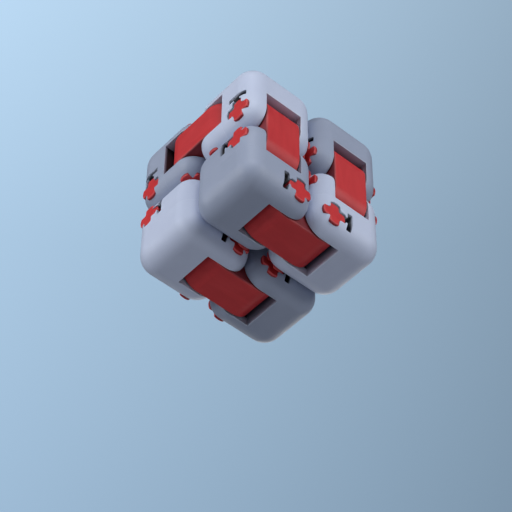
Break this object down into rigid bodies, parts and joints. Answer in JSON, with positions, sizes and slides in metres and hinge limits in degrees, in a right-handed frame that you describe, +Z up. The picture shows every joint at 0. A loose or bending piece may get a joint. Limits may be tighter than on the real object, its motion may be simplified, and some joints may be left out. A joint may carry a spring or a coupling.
{
  "type": "folding fidget cube",
  "caption": "Palm-sized folding fidget cube: round-edged blocks in two tones, chained into an endless loop by red double-pivot links that turn on cross-shaped axles.",
  "frame": {"origin": "middle of the folded cube's underside, on the plane it rests on", "axes": "+X to the cube's right, +Y to its back, +Z up; folded shut"},
  "size_m": [0.038, 0.038, 0.038],
  "materials": {
    "pale_shell": "pale blue-white moulded plastic, satin, fine grain",
    "grey_shell": "mid grey moulded plastic, satin, fine grain",
    "red_link": "red moulded plastic, satin",
    "red_axle": "red moulded plastic, slightly glossier ends"
  },
  "bodies": {
    "lower_front_left_block": {"lower_front_left_upper_half": "grey_shell", "lower_front_left_lower_half": "grey_shell", "front_left_link_lower_axle": "red_axle", "bottom_front_link_left_axle": "red_axle"},
    "lower_front_right_block": {"lower_front_right_upper_half": "pale_shell", "lower_front_right_lower_half": "pale_shell", "front_right_link_lower_axle": "red_axle", "bottom_front_link_right_axle": "red_axle"},
    "lower_rear_left_block": {"lower_rear_left_upper_half": "pale_shell", "lower_rear_left_lower_half": "pale_shell", "bottom_rear_link_left_axle": "red_axle", "rear_left_link_lower_axle": "red_axle"},
    "lower_rear_right_block": {"lower_rear_right_upper_half": "grey_shell", "lower_rear_right_lower_half": "grey_shell", "bottom_rear_link_right_axle": "red_axle", "rear_right_link_lower_axle": "red_axle"},
    "upper_left_pair": {"upper_front_left_front_half": "pale_shell", "upper_front_left_rear_half": "pale_shell", "front_left_link_upper_axle": "red_axle", "left_top_link_front_axle": "red_axle", "left_top_link": "red_link", "upper_rear_left_front_half": "grey_shell", "upper_rear_left_rear_half": "grey_shell", "left_top_link_rear_axle": "red_axle", "rear_left_link_upper_axle": "red_axle"},
    "upper_right_pair": {"upper_front_right_front_half": "grey_shell", "upper_front_right_rear_half": "grey_shell", "front_right_link_upper_axle": "red_axle", "right_top_link_front_axle": "red_axle", "right_top_link": "red_link", "upper_rear_right_front_half": "pale_shell", "upper_rear_right_rear_half": "pale_shell", "right_top_link_rear_axle": "red_axle", "rear_right_link_upper_axle": "red_axle"},
    "front_left_link": {"front_left_link": "red_link"},
    "front_right_link": {"front_right_link": "red_link"},
    "bottom_front_link": {"bottom_front_link": "red_link"},
    "bottom_rear_link": {"bottom_rear_link": "red_link"},
    "rear_left_link": {"rear_left_link": "red_link"},
    "rear_right_link": {"rear_right_link": "red_link"}
  },
  "joints": [
    {"name": "bottom_front_left_fold", "type": "hinge", "parent": "lower_front_left_block", "child": "bottom_front_link", "pos_m": [-0.0048, -0.0096, 0.0046], "axis": [0, 1, 0], "range_deg": [0, 90]},
    {"name": "bottom_front_right_fold", "type": "hinge", "parent": "bottom_front_link", "child": "lower_front_right_block", "pos_m": [0.0048, -0.0096, 0.0046], "axis": [0, 1, 0], "range_deg": [0, 90]},
    {"name": "bottom_rear_left_fold", "type": "hinge", "parent": "lower_rear_left_block", "child": "bottom_rear_link", "pos_m": [-0.0048, 0.0096, 0.0046], "axis": [0, 1, 0], "range_deg": [0, 90]},
    {"name": "front_left_lower_fold", "type": "hinge", "parent": "lower_front_left_block", "child": "front_left_link", "pos_m": [-0.0096, -0.0144, 0.0142], "axis": [1, 0, 0], "range_deg": [0, 90]},
    {"name": "front_left_upper_fold", "type": "hinge", "parent": "front_left_link", "child": "upper_left_pair", "pos_m": [-0.0096, -0.0144, 0.0238], "axis": [1, 0, 0], "range_deg": [0, 90]},
    {"name": "front_right_lower_fold", "type": "hinge", "parent": "lower_front_right_block", "child": "front_right_link", "pos_m": [0.0096, -0.0144, 0.0142], "axis": [1, 0, 0], "range_deg": [0, 90]},
    {"name": "front_right_upper_fold", "type": "hinge", "parent": "front_right_link", "child": "upper_right_pair", "pos_m": [0.0096, -0.0144, 0.0238], "axis": [1, 0, 0], "range_deg": [0, 90]},
    {"name": "rear_left_upper_fold", "type": "hinge", "parent": "upper_left_pair", "child": "rear_left_link", "pos_m": [-0.0096, 0.0144, 0.0238], "axis": [1, 0, 0], "range_deg": [0, 90]},
    {"name": "rear_left_lower_fold", "type": "hinge", "parent": "rear_left_link", "child": "lower_rear_left_block", "pos_m": [-0.0096, 0.0144, 0.0142], "axis": [1, 0, 0], "range_deg": [0, 90]},
    {"name": "rear_right_upper_fold", "type": "hinge", "parent": "upper_right_pair", "child": "rear_right_link", "pos_m": [0.0096, 0.0144, 0.0238], "axis": [1, 0, 0], "range_deg": [0, 90]},
    {"name": "rear_right_lower_fold", "type": "hinge", "parent": "rear_right_link", "child": "lower_rear_right_block", "pos_m": [0.0096, 0.0144, 0.0142], "axis": [1, 0, 0], "range_deg": [0, 90]}
  ],
  "couplings": [
    {"joint": "bottom_front_right_fold", "follows": "bottom_front_left_fold", "ratio": 1},
    {"joint": "bottom_rear_left_fold", "follows": "bottom_front_left_fold", "ratio": 1},
    {"joint": "front_left_upper_fold", "follows": "front_left_lower_fold", "ratio": 1},
    {"joint": "front_right_lower_fold", "follows": "front_left_lower_fold", "ratio": 1},
    {"joint": "front_right_upper_fold", "follows": "front_left_lower_fold", "ratio": 1},
    {"joint": "rear_left_lower_fold", "follows": "rear_left_upper_fold", "ratio": 1},
    {"joint": "rear_right_upper_fold", "follows": "rear_left_upper_fold", "ratio": 1},
    {"joint": "rear_right_lower_fold", "follows": "rear_left_upper_fold", "ratio": 1}
  ]
}
